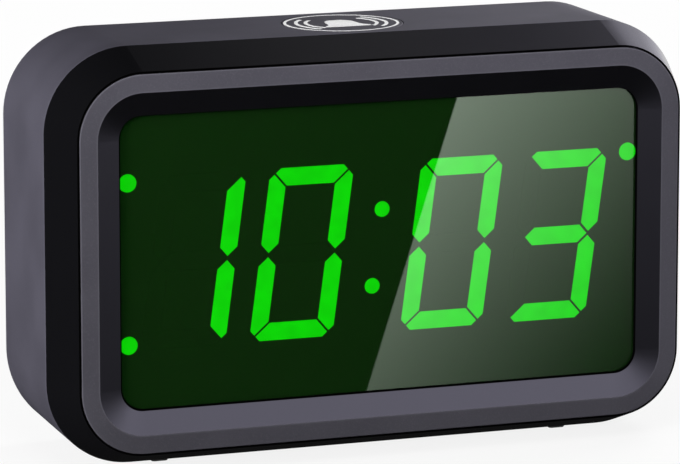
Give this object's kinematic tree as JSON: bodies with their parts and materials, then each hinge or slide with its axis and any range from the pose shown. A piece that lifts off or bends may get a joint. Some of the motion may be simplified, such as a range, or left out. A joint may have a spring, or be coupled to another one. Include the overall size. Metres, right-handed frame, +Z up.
{
  "type": "digital led desk clock",
  "caption": "Free-standing desk clock: bevelled rounded case, slanted seven-segment LED display behind a tinted lens, flush snooze button on top, battery door and setting buttons at the back.",
  "frame": {"origin": "on the table under the middle of the clock, at the level of the feet's flat bottoms", "axes": "+X to the viewer's right along the width, +Y from the display to the back, +Z up"},
  "size_m": [0.117, 0.035, 0.0737],
  "materials": {
    "case_plastic": "satin moulded plastic",
    "bezel_plastic": "fine-textured moulded plastic",
    "lens_tint": "polished tinted acrylic",
    "reflector_plastic": "matt moulded plastic",
    "segment_lit": "glowing diffuser resin",
    "segment_dark": "unlit diffuser resin",
    "led_resin": "clear LED resin",
    "board_laminate": "green solder-masked laminate",
    "screw_steel": "zinc-plated steel",
    "chip_resin": "black moulding resin",
    "cell_can": "plain printed sleeve over a metal can",
    "contact_steel": "nickel-plated spring steel",
    "wire_red": "red wire insulation",
    "wire_black": "black wire insulation",
    "ribbon_grey": "grey ribbon insulation",
    "capacitor_sleeve": "shrink sleeve",
    "button_plastic": "satin moulded plastic",
    "plunger_plastic": "natural nylon",
    "foot_rubber": "black rubber"
  },
  "bodies": {
    "case": {"main_housing": "case_plastic", "rear_cover": "case_plastic", "front_bezel": "bezel_plastic", "display_lens": "lens_tint", "display_reflector": "reflector_plastic", "lit_segments": "segment_lit", "colon_dots": "segment_lit", "indicator_dots": "segment_lit", "unlit_segments": "segment_dark", "led_chips": "led_resin", "display_board": "board_laminate", "control_board": "board_laminate", "snooze_board": "board_laminate", "display_board_screws": "screw_steel", "rear_cover_screws": "screw_steel", "control_board_screws": "screw_steel", "snooze_board_screws": "screw_steel", "driver_chip": "chip_resin", "clock_chip": "chip_resin", "key_switches": "chip_resin", "snooze_switch": "chip_resin", "buzzer": "chip_resin", "aa_cells": "cell_can", "battery_springs": "contact_steel", "battery_contacts": "contact_steel", "quartz_crystal": "contact_steel", "slide_switch_can": "contact_steel", "battery_lead_red": "wire_red", "battery_lead_black": "wire_black", "snooze_leads": "wire_black", "ribbon_cable": "ribbon_grey", "capacitor": "capacitor_sleeve", "rubber_feet": "foot_rubber"},
    "snooze_key": {"snooze_button": "button_plastic", "snooze_plunger": "plunger_plastic"},
    "time_key": {"time_button": "button_plastic", "time_plunger": "plunger_plastic"},
    "alarm_key": {"alarm_button": "button_plastic", "alarm_plunger": "plunger_plastic"},
    "hour_key": {"hour_button": "button_plastic", "hour_plunger": "plunger_plastic"},
    "minute_key": {"minute_button": "button_plastic", "minute_plunger": "plunger_plastic"},
    "alarm_slide": {"slide_knob": "button_plastic"},
    "door": {"battery_door": "case_plastic"}
  },
  "joints": [
    {"name": "snooze_press", "type": "slide", "parent": "case", "child": "snooze_key", "axis": [0, 0, -1], "range_m": [0, 0.0005], "stiffness_N_per_m": 800},
    {"name": "time_press", "type": "slide", "parent": "case", "child": "time_key", "axis": [0, -1, 0], "range_m": [0, 0.0005], "stiffness_N_per_m": 800},
    {"name": "alarm_press", "type": "slide", "parent": "case", "child": "alarm_key", "axis": [0, -1, 0], "range_m": [0, 0.0005], "stiffness_N_per_m": 800},
    {"name": "hour_press", "type": "slide", "parent": "case", "child": "hour_key", "axis": [0, -1, 0], "range_m": [0, 0.0005], "stiffness_N_per_m": 800},
    {"name": "minute_press", "type": "slide", "parent": "case", "child": "minute_key", "axis": [0, -1, 0], "range_m": [0, 0.0005], "stiffness_N_per_m": 800},
    {"name": "alarm_switch", "type": "slide", "parent": "case", "child": "alarm_slide", "axis": [1, 0, 0], "range_m": [0, 0.003]},
    {"name": "door_hinge", "type": "hinge", "parent": "case", "child": "door", "pos_m": [-0.01611, 0.0155, 0.01075], "axis": [-1, 0, 0], "range_deg": [0, 85]}
  ]
}
